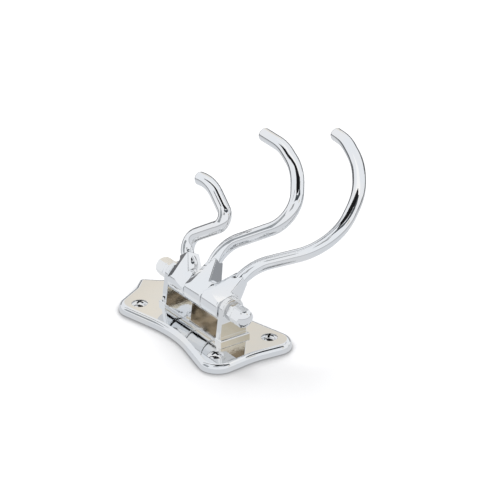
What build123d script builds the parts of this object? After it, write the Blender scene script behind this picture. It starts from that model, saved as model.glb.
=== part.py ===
from build123d import *
from math import asin, cos, radians, sin, tan
import os

# Swivel wall hook with three arms, mounted on a wall.
# The wall is the XZ plane, +Z is up and the hook stands out along -Y.
# The origin is the middle of the four wall screws, on the back of the plate.
# All sizes are in millimetres.

# Back plate, a casting with two ears and their feet
plate_t = 4.0
edge_roll = 2.4
screw_x = 15.0
screw_z = 31.3
lobe_r = 9.0
waist_x = 16.6
waist_r = 65.0
corner_low = (26.8, 43.7)
corner_high = (24.9, 37.8)
low_edge_z = 40.7
low_edge_r = 40.0
shoulder = (7.5, 47.0)
shoulder_r = 6.0
crest_z = 54.0
crest_r = 2.2
back_rim = 3.2
back_recess = 1.4
boss_r = 5.4

# Ears and feet
axle_h = 18.7
ear_top_r = 6.0
ear_base_half = 8.0
ear_t = 3.2
ear_edge = 0.5
foot_half = 8.0
foot_reach = 1.7
foot_h = 2.2
foot_edge = 0.7

# Axle rod and its nuts
rod_r = 2.45
rod_fit = 0.06
rod_chamfer = 0.5
rod_end_gap = 0.5
nut_flats = 8.0
nut_chamfer = 0.45
jam_t = 3.2
cap_t = 7.9
cap_hex_t = 5.2
cap_bore_t = 5.2
thread_fit = 0.05

# Hubs and washers stacked on the rod
hub_r = 7.0
hub_len = 13.0
hub_edge = 0.7
hub_fit = 0.08
washer_r = 5.6
washer_t = 0.5
end_washer_r = 4.6
end_washer_t = 0.6
face_gap = 0.03

# Hook arms, bent from one round bar
bar_r = 3.2
tip_edge = 1.1
neck_len = 16.0
neck_wide = 7.1
neck_half = 2.7
neck_ridge = 3.5
neck_draft_high = 16.0
neck_draft_low = 7.3
neck_edge = 0.4

# Wall screws with oval countersunk heads
head_r = 3.8
head_dome = 1.1
head_angle = 82.0
shank_r = 2.0
thread_r = 1.7
screw_len = 25.0
point_len = 5.0
seat_gap = 0.05
slot_t = 1.0
slot_len = 4.2
slot_depth = 2.0
cross_turns = {"top_left": 20, "top_right": 65, "bottom_left": 5, "bottom_right": 40}

# How far a cut runs past the piece that it goes through
over = 1.0

# Each arm: its swing from straight out towards +X, its bends and the side view of its neck.
# A bend is the step out and up to its corner from the one before, and its radius.
# The end is the last step, to the middle of the tip.
# A corner of the neck is its distance out and its height as a share of half the hub.
arms = {
    "short": dict(
        swing=28.0,
        bends=[(7.5, 0.8, 5.0), (7.3, 14.8, 6.7), (19.4, -27.5, 5.0), (11.7, 23.3, 24.4)],
        end=(-1.3, 9.0),
        neck=[(2.0, -0.98), (13.0, 0.55), (9.0, 1.26), (7.6, 0.92), (2.0, 0.98)],
    ),
    "medium": dict(
        swing=43.0,
        bends=[(21.3, 8.3, 15.8), (29.2, -33.5, 14.3), (20.2, 18.3, 31.9), (6.1, 17.1, 31.5)],
        end=(0.4, 16.5),
        neck=[(2.0, -0.98), (16.0, 0.4), (14.8, 1.11), (7.4, 0.97), (2.0, 0.98)],
    ),
    "long": dict(
        swing=60.0,
        bends=[
            (22.8, 3.2, 18.0),
            (29.6, -29.1, 25.6),
            (28.1, 13.6, 42.2),
            (13.4, 16.2, 56.6),
            (7.1, 18.0, 31.9),
        ],
        end=(0.6, 9.4),
        neck=[(2.0, -0.98), (17.0, -0.03), (17.0, 0.71), (6.0, 0.97), (2.0, 0.98)],
    ),
}

# Places that follow from the sizes above
hub_pitch = hub_len + washer_t + 2 * face_gap
ear_in = 1.5 * hub_len + 2 * washer_t + 4 * face_gap
ear_out = ear_in + ear_t
end_washer_z = ear_out + face_gap
jam_z = end_washer_z + end_washer_t + face_gap
cap_z = jam_z + jam_t + face_gap
rod_half = cap_z + cap_bore_t - rod_end_gap
root = plate_t / 2
flat_r = nut_flats / 2
corner_r = flat_r / cos(radians(30))
hub_z = {"short": hub_pitch, "medium": 0.0, "long": -hub_pitch}
wall = Plane.XZ
plate_front = Plane.XZ.offset(plate_t)
screw_places = {
    "top_left": (-screw_x, screw_z),
    "top_right": (screw_x, screw_z),
    "bottom_left": (-screw_x, -screw_z),
    "bottom_right": (screw_x, -screw_z),
}

os.makedirs("parts", exist_ok=True)


def save(piece, name):
    piece.part.label = name
    export_step(piece.part, f"parts/{name}.step")


def plate_outline():
    """Four lobes with hollow sides and a pointed crest at the top, as one closed line."""
    right = [
        (corner_low[0], -corner_low[1], lobe_r),
        (waist_x, 0, waist_r),
        (corner_high[0], corner_high[1], lobe_r),
        (shoulder[0], shoulder[1], shoulder_r),
    ]
    left = [(-x, z, r) for x, z, r in reversed(right)]
    corners = [(0, -low_edge_z, low_edge_r)] + right + [(0, crest_z, crest_r)] + left
    points = [(x, z) for x, z, r in corners]
    return FilletPolyline(*points, radius=[r for x, z, r in corners], close=True)


def ear(side):
    """One ear, tapered up to a round eye about the axle."""
    with BuildPart() as lug:
        with BuildSketch(Plane.XY.offset(side * ear_in)):
            with Locations((0, -axle_h)):
                Circle(ear_top_r)
            with Locations((0, -(plate_t + root) / 2)):
                Rectangle(2 * ear_base_half, plate_t - root)
            make_hull()
        extrude(amount=side * ear_t)
        fillet(lug.faces().filter_by(Axis.Z).edges(), radius=ear_edge)
    return lug


def foot(side):
    """The step that stands at the outer side of an ear."""
    with BuildPart() as step:
        with BuildSketch(wall.offset(root)):
            with Locations((0, side * (ear_in + (ear_t + foot_reach) / 2))):
                Rectangle(2 * foot_half, ear_t + foot_reach)
        extrude(amount=plate_t - root + foot_h)
        fillet(step.edges().group_by(Axis.Y)[0], radius=foot_edge)
    return step


# Back plate casting
with BuildPart() as back_plate:
    with BuildSketch(wall):
        with BuildLine():
            plate_outline()
        make_face()
    extrude(amount=plate_t)
    fillet(back_plate.edges().group_by(Axis.Y)[0], radius=edge_roll)
    for side in (1, -1):
        add(ear(side).part)
        add(foot(side).part)
    # Axle bore through both ears
    with Locations((0, -axle_h, 0)):
        Cylinder(rod_r + rod_fit, 2 * (ear_out + over), mode=Mode.SUBTRACT)
    # Recess cast into the back, with a boss round each screw
    with BuildSketch(wall):
        with BuildLine():
            plate_outline()
        make_face()
        offset(amount=-back_rim, kind=Kind.INTERSECTION, mode=Mode.REPLACE)
        with Locations(*screw_places.values()):
            Circle(boss_r, mode=Mode.SUBTRACT)
    extrude(amount=back_recess, mode=Mode.SUBTRACT)
    with Locations(plate_front):
        with Locations(*screw_places.values()):
            CounterSinkHole(shank_r + seat_gap, head_r + seat_gap, counter_sink_angle=head_angle)
save(back_plate, "back_plate")

# Axle rod, held in both ears
with BuildPart(Plane.XY.move(Location((0, -axle_h, 0)))) as axle_rod:
    Cylinder(rod_r, 2 * rod_half)
    chamfer(axle_rod.edges().filter_by(GeomType.CIRCLE), length=rod_chamfer)
save(axle_rod, "axle_rod")


def ring(outer_r, inner_r, thickness, low_z):
    """A flat washer on the axle, from low_z upwards."""
    with BuildPart() as washer:
        with BuildSketch(Plane.XY.offset(low_z)):
            with Locations((0, -axle_h)):
                Circle(outer_r)
                Circle(inner_r, mode=Mode.SUBTRACT)
        extrude(amount=thickness)
    return washer


# Thin washers between the ears and the hubs
for count, low_z in enumerate(
    [ear_in - face_gap - washer_t - step * hub_pitch for step in range(4)], start=1
):
    save(ring(washer_r, rod_r + hub_fit, washer_t, low_z), f"hub_washer_{count}")


def turned_hexagon(corners, crown_t, low_z, side, bore_t):
    """A hexagon nut turned to a profile of (radius, height) corners, with a crown on its end."""
    seat = Plane(origin=(0, -axle_h, low_z), x_dir=(1, 0, 0), z_dir=(0, 0, side))
    half_section = Plane(origin=seat.origin, x_dir=(1, 0, 0), z_dir=(0, -side, 0))
    edge_r, edge_z = corners[-1]
    height = edge_z + crown_t
    with BuildPart() as nut:
        with BuildSketch(seat):
            RegularPolygon(flat_r, 6, major_radius=False)
        extrude(amount=height)
        with BuildSketch(half_section):
            with BuildLine():
                Polyline((0, height), (0, 0), *corners)
                if crown_t:
                    crown_r = (edge_r**2 + crown_t**2) / (2 * crown_t)
                    half = 0.5 * asin(edge_r / crown_r)
                    middle = (crown_r * sin(half), height - crown_r * (1 - cos(half)))
                    ThreePointArc((0, height), middle, corners[-1])
                else:
                    Line(corners[-1], (0, height))
            make_face()
        revolve(axis=Axis(seat.origin, seat.z_dir), mode=Mode.INTERSECT)
        with BuildSketch(seat):
            Circle(rod_r + thread_fit)
        extrude(amount=bore_t, mode=Mode.SUBTRACT)
    return nut


# Nuts and end washers, the same at both ends
jam_corners = [
    (flat_r, 0),
    (corner_r, nut_chamfer),
    (corner_r, jam_t - nut_chamfer),
    (flat_r, jam_t),
]
cap_corners = [
    (flat_r, 0),
    (corner_r, nut_chamfer),
    (corner_r, cap_hex_t),
]
for end, side in (("top", 1), ("bottom", -1)):
    washer_low = end_washer_z if side > 0 else -end_washer_z - end_washer_t
    save(ring(end_washer_r, rod_r + hub_fit, end_washer_t, washer_low), f"end_washer_{end}")
    save(turned_hexagon(jam_corners, 0, side * jam_z, side, jam_t), f"jam_nut_{end}")
    save(turned_hexagon(cap_corners, cap_t - cap_hex_t, side * cap_z, side, cap_bore_t), f"cap_nut_{end}")


def hook(arm, middle_z):
    """A hub that turns on the rod, a tapered neck and a round bar bent up to its tip."""
    turn = radians(arm["swing"])
    out = (sin(turn), -cos(turn), 0)
    middle = (0, -axle_h, middle_z)
    bend_plane = Plane(origin=middle, x_dir=out, z_dir=(-cos(turn), -sin(turn), 0))
    plan = Plane(origin=middle, x_dir=out, z_dir=(0, 0, 1))
    # Wedge between the two flats that run from the hub down the neck, widest at a ridge
    back = hub_r + 2 * over
    back_half = neck_wide + back * (neck_wide - neck_half) / neck_len
    with BuildPart() as wedge:
        for way, draft in ((1, neck_draft_high), (-1, neck_draft_low)):
            ridge = Plane(origin=plan.offset(neck_ridge).origin, x_dir=out, z_dir=(0, 0, way))
            with BuildSketch(ridge):
                with BuildLine():
                    Polyline(
                        (-back, -back_half),
                        (neck_len, -neck_half),
                        (neck_len, neck_half),
                        (-back, back_half),
                        close=True,
                    )
                make_face()
            extrude(amount=hub_len, taper=draft)
    # Neck: the wedge cut to its side view
    with BuildPart() as neck:
        add(wedge.part)
        with BuildSketch(bend_plane):
            with BuildLine():
                corners = [(out_r, share * hub_len / 2) for out_r, share in arm["neck"]]
                Polyline(*corners, close=True)
            make_face()
        extrude(amount=back_half, both=True, mode=Mode.INTERSECT)
        fillet(neck.edges(), radius=neck_edge)
    with BuildPart() as body:
        with BuildSketch(plan.offset(-hub_len / 2)):
            Circle(hub_r)
        extrude(amount=hub_len)
        fillet(body.edges().filter_by(GeomType.CIRCLE), radius=hub_edge)
        add(wedge.part, mode=Mode.INTERSECT)
        add(neck.part)
        with BuildLine(bend_plane) as spine:
            points = [(0, 0)]
            for step_out, step_up, *bend in [*arm["bends"], arm["end"]]:
                points.append((points[-1][0] + step_out, points[-1][1] + step_up))
            FilletPolyline(*points, radius=[bend[2] for bend in arm["bends"]])
        with BuildSketch(Plane(origin=spine.line @ 0, z_dir=spine.line % 0)):
            Circle(bar_r)
        sweep()
        tip_point = spine.line @ 1
        fillet(body.faces().sort_by_distance(tip_point)[0].edges(), radius=tip_edge)
        with Locations(middle):
            Cylinder(rod_r + hub_fit, hub_len + 2 * over, mode=Mode.SUBTRACT)
    return body


for name, arm in arms.items():
    save(hook(arm, hub_z[name]), f"hook_{name}")

# Wall screws, driven until their heads sit in the countersinks
cone_t = (head_r - shank_r) / tan(radians(head_angle / 2))
dome_r = (head_r**2 + head_dome**2) / (2 * head_dome)
for place, (x, z) in screw_places.items():
    face = Plane(origin=(x, -plate_t, z), x_dir=(1, 0, 0), z_dir=(0, -1, 0))
    half_section = Plane(origin=face.origin, x_dir=(1, 0, 0), z_dir=(0, 0, -1))
    with BuildPart() as screw:
        with BuildSketch(half_section):
            with BuildLine():
                RadiusArc((0, head_dome), (head_r, 0), dome_r)
                Polyline(
                    (head_r, 0),
                    (shank_r, -cone_t),
                    (shank_r, -plate_t),
                    (thread_r, -plate_t),
                    (thread_r, point_len - screw_len),
                    (0, -screw_len),
                    (0, head_dome),
                )
            make_face()
        revolve(axis=Axis(face.origin, (0, 1, 0)))
        # Cross recess
        with BuildSketch(face.offset(head_dome)):
            with Locations(Rotation(0, 0, cross_turns[place])):
                Rectangle(slot_len, slot_t)
                Rectangle(slot_t, slot_len)
        extrude(amount=-slot_depth, mode=Mode.SUBTRACT)
    save(screw, f"wall_screw_{place}")
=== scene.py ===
# %% [markdown]
# # A chrome swivel hook on a pale ground
#
# The solids of the hook come packed from the CAD step, in metres, with the wall as the XZ plane, up as +Z
# and the room as -Y. This lesson gives them their finish, cuts the threads of the wall screws, and builds a
# small studio round them. Bright chrome has hardly a look of its own: it shows what stands round it, so
# most of the work is in what the metal is given to reflect.

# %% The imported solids
import bpy
import numpy as np
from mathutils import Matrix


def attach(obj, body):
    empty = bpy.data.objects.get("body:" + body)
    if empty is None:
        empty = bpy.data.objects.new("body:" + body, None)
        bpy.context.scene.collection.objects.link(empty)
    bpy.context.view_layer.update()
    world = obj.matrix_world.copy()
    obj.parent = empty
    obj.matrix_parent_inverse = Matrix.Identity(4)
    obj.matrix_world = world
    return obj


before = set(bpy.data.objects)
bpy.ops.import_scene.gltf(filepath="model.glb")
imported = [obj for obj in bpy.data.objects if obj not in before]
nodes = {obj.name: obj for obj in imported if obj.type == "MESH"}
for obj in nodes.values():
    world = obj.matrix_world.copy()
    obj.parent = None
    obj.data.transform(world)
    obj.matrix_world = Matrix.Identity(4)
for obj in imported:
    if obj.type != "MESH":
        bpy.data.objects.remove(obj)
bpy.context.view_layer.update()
print("solids:", len(nodes))

# %% [markdown]
# ## Shader maths as plain expressions
#
# A finish is worked out from numbers that change over the surface. Written node by node such maths is hard
# to read, so one small class wraps a socket and lets Python's own signs add the Math nodes. Everything else
# goes through one method, `node`, which takes the node's type, its settings and its inputs.

# %% A socket that can be added and multiplied
class Value:
    """A number that changes over the surface: the output socket of a node in a tree."""

    def __init__(self, tree, socket):
        self.tree, self.socket = tree, socket

    def maths(self, operation, *others):
        return self.tree.node("ShaderNodeMath", {"operation": operation}, {
            place: other for place, other in enumerate((self,) + others)})

    def __add__(self, other):
        return self.maths("ADD", other)

    def __sub__(self, other):
        return self.maths("SUBTRACT", other)

    def __mul__(self, other):
        return self.maths("MULTIPLY", other)

    def __rsub__(self, other):
        return self.tree.node("ShaderNodeMath", {"operation": "SUBTRACT"}, {0: other, 1: self})

    __radd__, __rmul__ = __add__, __mul__

    def step(self, start, end):
        """0 below start, 1 above end, and smooth between."""
        return self.tree.node("ShaderNodeMapRange", {"interpolation_type": "SMOOTHSTEP"}, {
            "Value": self, "From Min": start, "From Max": end})

    def beside(self, output):
        """Another output of the same node, by its number."""
        return Value(self.tree, self.socket.node.outputs[output])


print("helper: Value")

# %% The tree that holds the nodes
class Tree:
    """The node tree of a material or a world."""

    def __init__(self, owner):
        owner.use_nodes = True
        self.nodes, self.links = owner.node_tree.nodes, owner.node_tree.links
        self.nodes.clear()

    def node(self, kind, settings=None, inputs=None, output=0):
        """Adds a node: its settings first, then a number or a link for each input that is named."""
        made = self.nodes.new(kind)
        for name, value in (settings or {}).items():
            setattr(made, name, value)
        for name, value in (inputs or {}).items():
            if isinstance(value, Value):
                self.links.new(value.socket, made.inputs[name])
            else:
                made.inputs[name].default_value = value
        return Value(self, made.outputs[output]) if len(made.outputs) else made

    def blend(self, mask, low, high):
        """One colour where the mask is 0 and the other where it is 1."""
        return self.node("ShaderNodeMix", {"data_type": "RGBA"}, {0: mask, 6: low, 7: high}, output=2)

    def clouds(self, place, scale, detail):
        """Soft noise from 0 to 1, with about scale clouds to the metre."""
        return self.node("ShaderNodeTexNoise", {}, {"Vector": place, "Scale": scale, "Detail": detail})

    def show(self, surface):
        """Ends the tree of a material with its surface."""
        self.node("ShaderNodeOutputMaterial", {}, {"Surface": surface})


print("helper: Tree")

# %% [markdown]
# ## Bright chrome
#
# Chrome plate is a very thin bluish mirror over polished nickel. Up close it isn't perfect: the polishing
# wheel leaves the casting a little wavy, handling leaves faint smears, and the tone drifts between cool and
# warm. One function makes all the chromes from the solid's own Object coordinates, so that the smears
# stay where they are when an arm swings. A scratch image would do it too, but it would show a seam.

# %% The chrome function
def chrome(name, cool, warm, gloss, smear, ripple):
    """Mirror metal. Tone runs from cool to warm, roughness from gloss up by smear, ripple is in metres."""
    material = bpy.data.materials.new(name)
    tree = Tree(material)
    place = tree.node("ShaderNodeTexCoord", output=3)
    cloud = tree.clouds(place, 55.0, 3.0)
    wipe = tree.node("ShaderNodeTexNoise", {}, {
        "Vector": place, "Scale": 420.0, "Detail": 5.0, "Roughness": 0.6})
    speck = tree.clouds(place, 2600.0, 2.0)
    tone = tree.blend(cloud.step(0.3, 0.7), cool, warm)
    rough = gloss + smear * cloud.step(0.45, 0.75) * wipe + 0.4 * smear * speck.step(0.6, 0.8)
    relief = tree.node("ShaderNodeBump", {}, {
        "Strength": 1.0, "Distance": ripple, "Height": cloud + 0.15 * wipe})
    tree.show(tree.node("ShaderNodeBsdfPrincipled", {}, {
        "Base Color": tone, "Metallic": 1.0, "Roughness": rough, "Normal": relief}))
    return material


plate_chrome = chrome("plate_chrome", (0.86, 0.875, 0.89, 1), (0.90, 0.89, 0.87, 1), 0.02, 0.06, 0.00002)
hook_chrome = chrome("hook_chrome", (0.90, 0.915, 0.93, 1), (0.93, 0.925, 0.92, 1), 0.02, 0.05, 0.00001)
nut_chrome = chrome("nut_chrome", (0.88, 0.89, 0.91, 1), (0.91, 0.91, 0.90, 1), 0.05, 0.08, 0.00001)
print("chromes:", plate_chrome.name, hook_chrome.name, nut_chrome.name)

# %% [markdown]
# ## Plain steel for the rod and washers
#
# The rod and the washers are turned or punched and only zinc plated, so they are duller, with fine rings
# round the axle. The rings could be cut into the mesh, but they are less than a hundredth of a millimetre
# deep. A wave texture, which a Mapping node centres on the axle, gives them as a bump for next to nothing.

# %% Turned steel
axle_out = 0.0187


def turned_steel(name, dark, light):
    """Dull metal with fine rings round the upright axle."""
    material = bpy.data.materials.new(name)
    tree = Tree(material)
    place = tree.node("ShaderNodeTexCoord", output=3)
    centred = tree.node("ShaderNodeMapping", {}, {"Vector": place, "Location": (0, axle_out, 0)})
    rings = tree.node("ShaderNodeTexWave", {"wave_type": "RINGS", "rings_direction": "Z"}, {
        "Vector": centred, "Scale": 900.0, "Distortion": 0.6, "Detail": 2.0}, output=1)
    cloud = tree.clouds(place, 300.0, 4.0)
    tone = tree.blend(cloud.step(0.3, 0.7), dark, light)
    relief = tree.node("ShaderNodeBump", {}, {"Strength": 0.4, "Distance": 0.00001, "Height": rings})
    tree.show(tree.node("ShaderNodeBsdfPrincipled", {}, {
        "Base Color": tone, "Metallic": 1.0, "Roughness": 0.16 + 0.12 * cloud + 0.08 * rings,
        "Normal": relief}))
    return material


washer_steel = turned_steel("washer_steel", (0.60, 0.61, 0.63, 1), (0.72, 0.72, 0.72, 1))
rod_steel = turned_steel("rod_steel", (0.55, 0.56, 0.58, 1), (0.66, 0.66, 0.66, 1))
print("steels:", washer_steel.name, rod_steel.name)

# %% [markdown]
# ## Screw heads
#
# The heads are plated like the plate. The cross is a deep recess, and its shade is painted: the colour turns
# nearly black there. A second material on the faces of the cross would do, if the mesh were cut up by hand.
# Here the depth of a point under the sphere of the head's dome is the mask of the painted shade, as the cross
# lies below that sphere near each screw's own axis. The shank does so too, so the mask ends at the depth of
# the cross. All four screws share one material, because the four axes mirror each other.

# %% Screw chrome with painted shade in the cross
screw_x, screw_z = 0.0150, 0.0313
head_r, head_dome, plate_t = 0.0038, 0.0011, 0.004
dome_r = (head_r**2 + head_dome**2) / (2 * head_dome)
dome_top = -plate_t - head_dome
cross_depth = 0.0020


def screw_finish(name):
    """Chrome with painted shade, nearly black where the surface lies below the sphere of the head's dome."""
    material = bpy.data.materials.new(name)
    tree = Tree(material)
    place = tree.node("ShaderNodeTexCoord", output=3)
    x = tree.node("ShaderNodeSeparateXYZ", {}, {"Vector": place})
    y, z = x.beside(1), x.beside(2)
    dx = x.maths("ABSOLUTE") - screw_x
    dz = z.maths("ABSOLUTE") - screw_z
    dy = y - (dome_top + dome_r)
    off_axis = (dx * dx + dz * dz).maths("SQRT")
    under_dome = dome_r - (dx * dx + dy * dy + dz * dz).maths("SQRT")
    in_head = 1 - y.step(dome_top + cross_depth, dome_top + 1.1 * cross_depth)
    # the mask of the painted shade: the recess of the cross near each screw's axis
    painted_shade_in_cross = under_dome.step(0.00008, 0.0006) * (1 - off_axis.step(0.6 * head_r, 0.75 * head_r)) * in_head
    cloud = tree.clouds(place, 700.0, 4.0)
    tone = tree.blend(cloud.step(0.3, 0.7), (0.82, 0.83, 0.85, 1), (0.88, 0.87, 0.85, 1))
    # painted shade: the colour of the cross turns nearly black
    tone = tree.blend(painted_shade_in_cross, tone, (0.06, 0.055, 0.05, 1))
    relief = tree.node("ShaderNodeBump", {}, {"Strength": 1.0, "Distance": 0.00001, "Height": cloud})
    tree.show(tree.node("ShaderNodeBsdfPrincipled", {}, {
        "Base Color": tone, "Metallic": 1.0, "Roughness": 0.07 + 0.08 * cloud + 0.4 * painted_shade_in_cross,
        "Normal": relief}))
    return material


screw_chrome = screw_finish("screw_chrome")
print("screw dome radius in mm:", round(1000 * dome_r, 2))

# %% [markdown]
# ## Each solid takes its finish
#
# On the real hook every piece has one plating all over, so nothing has to be painted face by face, which
# is the other way to do it. A solid's name says what it is, and a table from the start of a name to a finish
# dresses them all.

# %% The finishes by name
finish_of = {"back_plate": plate_chrome, "hook": hook_chrome, "cap_nut": nut_chrome, "jam_nut": nut_chrome,
             "wall_screw": screw_chrome, "hub_washer": washer_steel, "end_washer": washer_steel,
             "axle_rod": rod_steel}
for name, solid in nodes.items():
    finish = next(made for start, made in finish_of.items() if name.startswith(start))
    solid.data.materials.clear()
    solid.data.materials.append(finish)
    print(name, "->", finish.name)

# %% [markdown]
# ## The threads of the wall screws
#
# A wood screw's thread is one ridge wound round the shank. Seen along the wall or from behind it is what
# makes a screw a screw. Blender's Screw modifier could wind a profile, but the ridge has to fade in along
# the shank and run down to nothing at the point. So it is worked out as a surface of two parameters: the turn
# along the shank, and the place across the ridge, from one flank over the narrow crest to the other.

# %% One wound ridge
def in_scene(name, data):
    """A new object of the given data, linked to the scene."""
    made = bpy.data.objects.new(name, data)
    bpy.context.scene.collection.objects.link(made)
    return made


thread_start, thread_end, screw_tip = 0.003, 0.0200, 0.021
core_r, crest_r, pitch = 0.0017, 0.0020, 0.0018
point_len, run_out, blunt = 0.005, 0.004, 0.02
steps_a_turn = 24


def thread(name, x, z):
    """One ridge at the screw axis (x, z).

    The point at turn t and place s across lies at the angle 2 pi t and at y = start + pitch (t + s). Its
    radius is body(y) + height(s) * fade(t) * end(y), where body is the shank, which narrows to the tip.
    """
    turns = np.linspace(0, (thread_end - thread_start) / pitch,
                        steps_a_turn * int((thread_end - thread_start) / pitch) + 1)
    across = np.array([-0.42, -0.05, 0.05, 0.42])
    height = (crest_r - core_r) * np.array([-0.25, 1.0, 1.0, -0.25])
    angle = 2 * np.pi * turns[:, None]
    y = thread_start + pitch * (turns[:, None] + across[None, :])
    fade = np.clip(turns, 0, 1)[:, None]
    body = core_r * np.clip((screw_tip - y) / point_len, blunt, 1)
    radius = body + height[None, :] * fade * np.clip((screw_tip - y) / run_out, 0, 1)
    grid = np.stack([x + radius * np.cos(angle), y, z + radius * np.sin(angle)], axis=-1)
    rows, columns = grid.shape[:2]
    corner = (np.arange(rows - 1)[:, None] * columns + np.arange(columns - 1)[None, :]).ravel()
    faces = np.stack([corner, corner + 1, corner + columns + 1, corner + columns], axis=1)
    mesh = bpy.data.meshes.new(name)
    mesh.from_pydata(grid.reshape(-1, 3), [], faces.tolist())
    mesh.materials.append(screw_chrome)
    mesh.shade_smooth()
    ridge = in_scene(name, mesh)
    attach(ridge, "base")
    return ridge


print("turns of thread:", round((thread_end - thread_start) / pitch, 1))

# %% The four threads
for height_name, z in (("top", screw_z), ("bottom", -screw_z)):
    for side_name, x in (("left", -screw_x), ("right", screw_x)):
        ridge = thread(f"screw_thread_{height_name}_{side_name}", x, z)
        print(ridge.name, len(ridge.data.polygons), "faces")

# %% [markdown]
# ## The camera
#
# The hook lies on its back in the photograph, seen from beyond its lower end. A camera can be turned by eye
# until the picture fits, but this view was solved from the three screws, the crest and the axle, so that
# the arms could be fitted through it. It stands far off with a long lens, and its up is the room's side of
# the wall.

# %% A camera from a target, two angles and a distance
def place_along(made, side_way, up_way, back_way, place=(0.0, 0.0, 0.0)):
    """Points an object's own x, y and z along three directions, and moves it to a place."""
    turned = np.eye(4)
    turned[:3, 0], turned[:3, 1], turned[:3, 2], turned[:3, 3] = side_way, up_way, back_way, place
    made.matrix_world = turned.T.tolist()


azimuth, elevation, distance = -2.18370103, 0.45699477, 1.5
focal_px, frame_px = 3075.0, 500.0
aim = np.array([0.06463, 0.0, 0.05385])
aim_right_px, aim_down_px = 1.0, 0.4
metres_a_px = distance / focal_px
sensor_mm = 36.0

out_dir = np.array([0.0, -1.0, 0.0])
towards = np.array([np.cos(elevation) * np.cos(azimuth), -np.sin(elevation),
                    np.cos(elevation) * np.sin(azimuth)])
right = np.cross(-towards, out_dir)
right /= np.linalg.norm(right)
up = np.cross(right, -towards)
camera_place = aim + metres_a_px * (aim_down_px * up - aim_right_px * right) + distance * towards
camera_data = bpy.data.cameras.new("camera")
camera_data.sensor_width = sensor_mm
camera_data.lens = sensor_mm * focal_px / frame_px
camera_data.clip_end = 20.0
camera = in_scene("camera", camera_data)
place_along(camera, right, up, towards, camera_place)
bpy.context.scene.camera = camera
print("camera at", camera_place.round(3), "lens", round(camera_data.lens, 1))

# %% [markdown]
# ## The ground
#
# The hook lies on a white sheet, which is the plane of the wall behind the plate, so in the other views it
# stands as the wall. It can't be seen from behind, or it would hide the back of the plate. Most of its white
# is light that a shadow takes away, and a little is its own glow. Right under the plate's rim the ground in
# the photograph is darker than a soft shadow makes it. A harder lamp would do that, but its shadow would
# reach too far, so an ambient occlusion node paints a shadow there, turning the sheet's colour grey where the
# hook hides the room from it.
#
# The metal shows another sheet than the eye sees: pale near the hook, greyer further out, and nearly black
# beyond its far side, as where a table ends. A Light Path node gives mirrors those tones, and a second sheet
# that only mirrors see would do it too, with more to keep in line.

# %% The sheet as the eye sees it
def stage_object(name, corners, material):
    """A flat piece of the studio, which isn't part of the hook."""
    mesh = bpy.data.meshes.new(name)
    mesh.from_pydata([tuple(c) for c in corners], [], [tuple(range(len(corners)))])
    mesh.materials.append(material)
    made = in_scene(name, mesh)
    return made


sheet_material = bpy.data.materials.new("white_sheet")
tree = Tree(sheet_material)
open_sky = tree.node("ShaderNodeAmbientOcclusion", {"samples": 8}, {"Distance": 0.006}, output=1)
open_part = tree.node("ShaderNodeBsdfDiffuse", {}, {"Color": (0.93, 0.93, 0.94, 1)})
# painted shadow: a dark grey diffuse colour where the occlusion node finds the room hidden
painted_shadow_diffuse = tree.node("ShaderNodeBsdfDiffuse", {}, {"Color": (0.30, 0.30, 0.31, 1)})
lit = tree.node("ShaderNodeMixShader", {}, {0: open_sky.step(0.45, 0.95), 1: painted_shadow_diffuse, 2: open_part})
own = tree.node("ShaderNodeEmission", {}, {"Color": (1, 1, 1, 1), "Strength": 0.10})
white = tree.node("ShaderNodeAddShader", {}, {0: lit, 1: own})
print("sheet as seen:", len(tree.nodes), "nodes")

# %% The sheet as the metal shows it
flat_behind = (-towards[0], 0, -towards[2])
place = tree.node("ShaderNodeTexCoord", output=3)
past_hook = tree.node("ShaderNodeVectorMath", {"operation": "DOT_PRODUCT"}, {
    0: place, 1: flat_behind}, output=1)
distance_out = tree.node("ShaderNodeVectorMath", {"operation": "LENGTH"}, {0: place}, output=1)
near_to_far = tree.blend(distance_out.step(0.12, 0.40), (0.68, 0.70, 0.73, 1), (0.45, 0.46, 0.48, 1))
mirrored_tone = tree.blend(past_hook.step(0.12, 0.24), near_to_far, (0.10, 0.105, 0.11, 1))
mirrored = tree.node("ShaderNodeEmission", {}, {"Color": mirrored_tone, "Strength": 1.0})
by_mirror = tree.node("ShaderNodeLightPath", output=3)
from_front = tree.node("ShaderNodeMixShader", {}, {0: by_mirror, 1: white, 2: mirrored})
from_behind = tree.node("ShaderNodeBsdfTransparent", {}, {"Color": (1, 1, 1, 1)})
turned_away = tree.node("ShaderNodeNewGeometry", output=6)
tree.show(tree.node("ShaderNodeMixShader", {}, {0: turned_away, 1: from_front, 2: from_behind}))

half, gap = 2.0, 0.0002
ground = stage_object("ground", [(-half, gap, -half), (half, gap, -half), (half, gap, half),
                                 (-half, gap, half)], sheet_material)
print("ground normal", ground.data.polygons[0].normal[:])

# %% [markdown]
# ## The room's light and one lamp
#
# The room is a light tent: it lights the hook evenly from all sides, is brighter and a little cooler in
# the metal, and is plain white to the camera. Even light alone leaves no shadow, so one lamp stands low
# behind the hook and lays a short one before the plate's near edge. An area lamp would do as well, but only
# a sun's direction matters, and its angle alone sets how soft the shadow's edge is. The metal doesn't show
# the lamp, because the cards further on give it its lights.

# %% The room
world = bpy.data.worlds.new("studio")
bpy.context.scene.world = world
tree = Tree(world)
camera_ray = tree.node("ShaderNodeLightPath")
glossy_ray = camera_ray.beside(3)
tone = tree.blend(glossy_ray, (0.68, 0.68, 0.68, 1), (0.86, 0.88, 0.91, 1))
tone = tree.blend(camera_ray, tone, (1, 1, 1, 1))
light = tree.node("ShaderNodeBackground", {}, {"Color": tone, "Strength": 1.0})
tree.node("ShaderNodeOutputWorld", {}, {"Surface": light})
print("room:", len(tree.nodes), "nodes")

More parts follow.
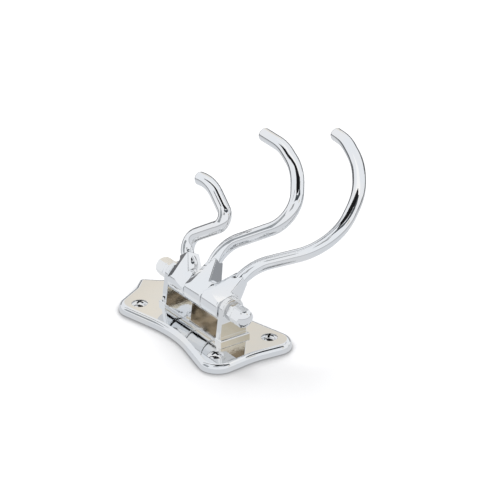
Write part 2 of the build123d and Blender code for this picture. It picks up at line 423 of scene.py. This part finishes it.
# %% The lamp low behind the hook
behind_dir = np.array(flat_behind) / np.linalg.norm(flat_behind)
right_dir = np.cross(behind_dir, out_dir)
lamp_height = np.radians(35.0)
to_lamp = np.cos(lamp_height) * behind_dir + np.sin(lamp_height) * out_dir
lamp_data = bpy.data.lights.new("broad_lamp", "SUN")
lamp_data.energy, lamp_data.angle = 2.2, 0.6
lamp = in_scene("broad_lamp", lamp_data)
place_along(lamp, -right_dir, np.cross(to_lamp, -right_dir), to_lamp)
lamp.visible_glossy = False
print("lamp from", to_lamp.round(2))

# %% [markdown]
# ## Cards round the hook
#
# A photographer hangs white, grey and black cards round a shiny thing, out of the picture, so that its curves
# get the bright planes and the dark lines that make it read as metal. Each card here is given by the
# directions of its corners, as the bars reflect them: an angle round the hook, from straight behind it, and
# a height over the ground. Lamps and a modelled room would work too, but would be slower to place.

# %% Cards that only a mirror sees
middle = np.array([0.045, -0.035, 0.0])


def look(angle, height):
    """The direction at an angle round the hook and a height over the ground, both in degrees."""
    a, h = np.radians([angle, height])
    return np.cos(h) * (np.cos(a) * behind_dir + np.sin(a) * right_dir) + np.sin(h) * out_dir


def card(name, corners, dark, light=None, grain=9.0):
    """A flat card with the given corners, which glows from dark to light in clouds of a grain per metre."""
    material = bpy.data.materials.new(name)
    tree = Tree(material)
    cloud = tree.clouds(tree.node("ShaderNodeTexCoord", output=3), grain, 2.0)
    shade = tree.blend(cloud.step(0.4, 0.6), (*dark, 1), (*(light or dark), 1))
    tree.show(tree.node("ShaderNodeEmission", {}, {"Color": shade, "Strength": 1.0}))
    made = stage_object(name, corners, material)
    made.visible_camera = made.visible_diffuse = made.visible_shadow = False
    made.visible_transmission = made.visible_volume_scatter = False
    return made


def far_card(name, corners, dark, light=None, away=0.9):
    """A card far out, whose corners are (angle, height)."""
    return card(name, [middle + away * look(*c) for c in corners], dark, light)


def mirror_card(name, low, high, bounce, dark, light, away=0.45):
    """A card that just fills a part of the plate's face, as the camera sees it after the given bounces."""
    (x0, z0), (x1, z1) = low, high
    spots = np.array([(x0, -plate_t, z0), (x1, -plate_t, z0), (x1, -plate_t, z1), (x0, -plate_t, z1)])
    rays = spots - camera_place
    rays /= np.linalg.norm(rays, axis=1, keepdims=True)
    return card(name, spots + away * rays * bounce, dark, light, grain=95.0)


print("helpers: look, card, far_card, mirror_card")

# %% [markdown]
# ## Where the darks and the lights hang
#
# The tones of the photograph's bars, necks and plate were followed back through the bounces of the view to
# the directions that they come from. High black cards draw the dark line along each bar, the big white one
# behind them brightens the bars' tops, low grey ones give their undersides depth, and the beige and tan ones
# warm the flats of the plate and its foot. Two brown ones just fill the view of the plate and the far ear
# in the hollow between the ears. A picture of a room wrapped round the scene would need none of this, but
# it would be an image to carry along, and its lines wouldn't fall where these do.

# %% The dark and grey cards
black = (0.012, 0.012, 0.013)
steel_dark, steel_mid = (0.04, 0.048, 0.056), (0.09, 0.10, 0.11)
grey_dark, grey_mid = (0.26, 0.28, 0.30), (0.46, 0.48, 0.50)
far_card("card_black_left", [(-65, 37), (-62, 37), (-28, 66), (-56, 66)], black)
far_card("card_black_top", [(-56, 66), (-28, 66), (50, 66), (88, 62), (130, 74), (210, 76)], black)
far_card("card_dark_right", [(60, 60), (60, 70), (95, 64), (95, 40)], steel_dark, steel_mid)
far_card("card_dark_side", [(95, 40), (95, 64), (135, 66), (135, 50)], steel_dark, steel_mid)
far_card("card_dark_near", [(135, 50), (135, 68), (212, 76), (212, 62)], steel_dark, steel_mid)
far_card("card_grey_left", [(-124, 12), (-85, 12), (-85, 40), (-124, 40)], grey_dark, grey_mid)
far_card("card_line_left", [(-84, 44), (-81, 44), (-81, 60), (-84, 60)], (0.07, 0.07, 0.075))
far_card("card_dark_low", [(-45, 0.5), (42, 0.5), (42, 11), (-45, 11)], (0.08, 0.085, 0.09), (0.2, 0.2, 0.21))
far_card("card_low_right", [(64, 0.5), (80, 0.5), (80, 6), (64, 6)], (0.06, 0.065, 0.07), (0.30, 0.31, 0.33))
far_card("card_grey_near", [(178, 44), (215, 44), (215, 58), (178, 58)], (0.2, 0.2, 0.21), (0.45, 0.46, 0.47))

# %% The white and warm cards
far_card("card_white", [(-38, 45), (85, 41), (68, 74), (-30, 80)], (1.0, 1.0, 1.0), away=1.0)
far_card("card_beige", [(-12, 21), (8, 21), (8, 34), (-12, 34)], (0.76, 0.72, 0.65), (0.83, 0.79, 0.72))
far_card("card_tan", [(105, 23), (116, 23), (116, 33), (105, 33)], (0.56, 0.50, 0.39), (0.70, 0.65, 0.55))
mirror_card("card_brown_plate", (-0.0066, -0.0196), (0.0066, 0.0196), (1, -1, 1),
            (0.035, 0.027, 0.018), (0.30, 0.24, 0.165))
mirror_card("card_brown_ear", (-0.012, -0.006), (0.010, 0.022), (1, -1, -1),
            (0.05, 0.04, 0.028), (0.28, 0.22, 0.15))

# %% [markdown]
# ## How the picture is developed
#
# Blender's usual view softens strong lights as film does, and would turn the white sheet grey. The light
# here is at a plain level, so the Standard view is enough, which shows each colour as it is written.

# %% The view
bpy.context.scene.view_settings.view_transform = "Standard"
print("view:", bpy.context.scene.view_settings.view_transform)
